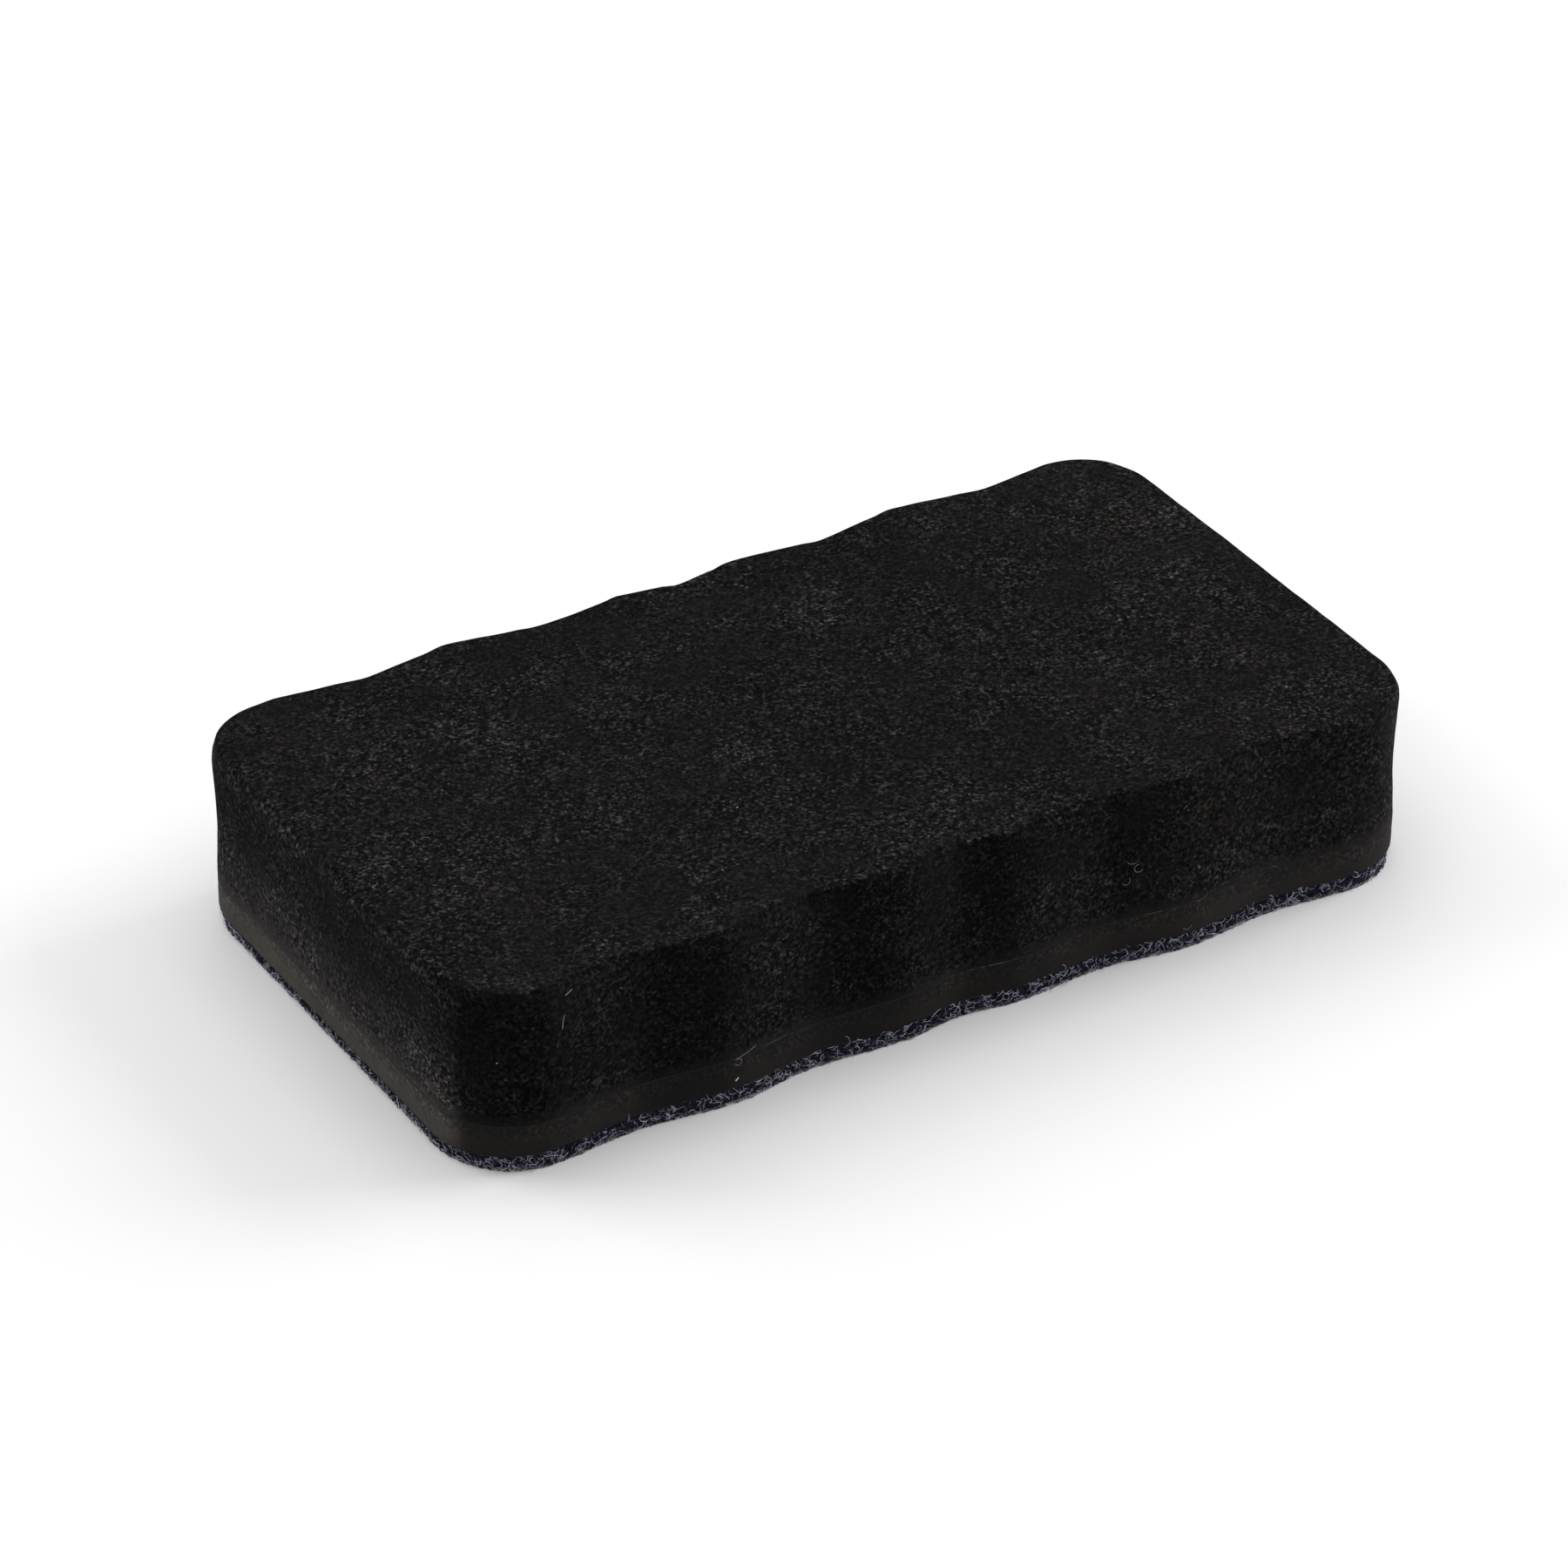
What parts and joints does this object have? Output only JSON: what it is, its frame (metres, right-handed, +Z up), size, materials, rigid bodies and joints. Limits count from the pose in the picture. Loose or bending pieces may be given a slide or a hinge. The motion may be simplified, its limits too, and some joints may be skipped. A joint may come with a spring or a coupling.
{
  "type": "chalkboard eraser",
  "caption": "Hand-held chalkboard eraser: soft foam grip block with wavy long sides, glued to a dense backing sheet and a felt wiping pad cut to the same outline.",
  "frame": {"origin": "middle of the felt's wiping face, where the eraser rests on a table", "axes": "+X along the eraser's length, +Y across its width, +Z up from the felt to the top of the foam"},
  "size_m": [0.11, 0.0594, 0.0204],
  "materials": {
    "felt": "matte",
    "glue": "satin",
    "backing": "matte",
    "foam": "matte"
  },
  "bodies": {
    "root": {"felt_pad": "felt", "felt_glue": "glue", "backing_sheet": "backing", "foam_glue": "glue", "foam_block": "foam"}
  },
  "joints": []
}
